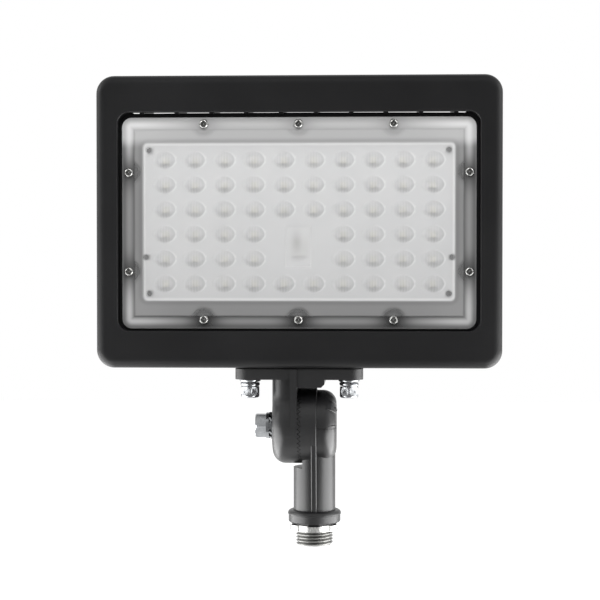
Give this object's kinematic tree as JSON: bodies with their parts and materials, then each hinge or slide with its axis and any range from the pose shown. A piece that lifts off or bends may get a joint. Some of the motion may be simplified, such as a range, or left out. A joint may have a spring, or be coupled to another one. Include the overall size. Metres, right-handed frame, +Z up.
{
  "type": "flood light",
  "caption": "Rectangular LED flood light with a moulded lens cover, finned black housing and a toothed knuckle that tilts on a threaded conduit nipple.",
  "frame": {"origin": "on the nipple's axis in the lower face of the lock nut, where the face of a box hub would be", "axes": "+Z up along the nipple, +X to the right of someone facing the light, -Y the way the light shines at rest"},
  "size_m": [0.2262, 0.0504, 0.265],
  "materials": {
    "housing_coat": "satin black powder coat on die-cast aluminium",
    "knuckle_coat": "smooth semi-gloss black coat on die-cast aluminium",
    "optic": "clear moulded polycarbonate with a frosted border",
    "seal": "black sponge rubber",
    "stainless": "plain stainless steel",
    "board": "white solder mask on an aluminium board",
    "emitter": "yellow phosphor in a white package",
    "dark_screw": "black oxide steel",
    "connector": "moulded nylon",
    "lead": "silicone insulated lead",
    "driver_case": "natural aluminium case",
    "plated_steel": "bright zinc plated steel",
    "zinc_steel": "zinc plated steel"
  },
  "bodies": {
    "stem": {"knuckle_stem": "knuckle_coat", "nipple": "zinc_steel"},
    "head": {"housing": "housing_coat", "lens_cover": "optic", "lens_gasket": "seal", "lens_screws": "stainless", "led_board": "board", "led_chips": "emitter", "board_screws": "dark_screw", "board_connector": "connector", "board_leads": "lead", "driver": "driver_case", "driver_screws": "stainless", "rear_gasket": "seal", "rear_cover": "housing_coat", "rear_cover_screws": "stainless", "base_gasket": "seal", "knuckle_base": "knuckle_coat", "base_bolts": "plated_steel", "base_flat_washers": "plated_steel", "base_spring_washers": "plated_steel"},
    "clamp_bolt": {"pivot_bolt": "plated_steel", "pivot_washer": "plated_steel", "tooth_washer": "plated_steel"},
    "lock_nut": {"locknut": "zinc_steel"}
  },
  "joints": [
    {"name": "tilt", "type": "hinge", "parent": "stem", "child": "head", "pos_m": [-0.0082, 0, 0.0593], "axis": [1, 0, 0], "range_deg": [-90, 90]},
    {"name": "clamp_turn", "type": "hinge", "parent": "stem", "child": "clamp_bolt", "pos_m": [-0.0236, 0, 0.0593], "axis": [1, 0, 0], "continuous": true},
    {"name": "nut_turn", "type": "hinge", "parent": "stem", "child": "lock_nut", "pos_m": [0, 0, 0.0016], "axis": [0, 0, 1], "continuous": true}
  ]
}
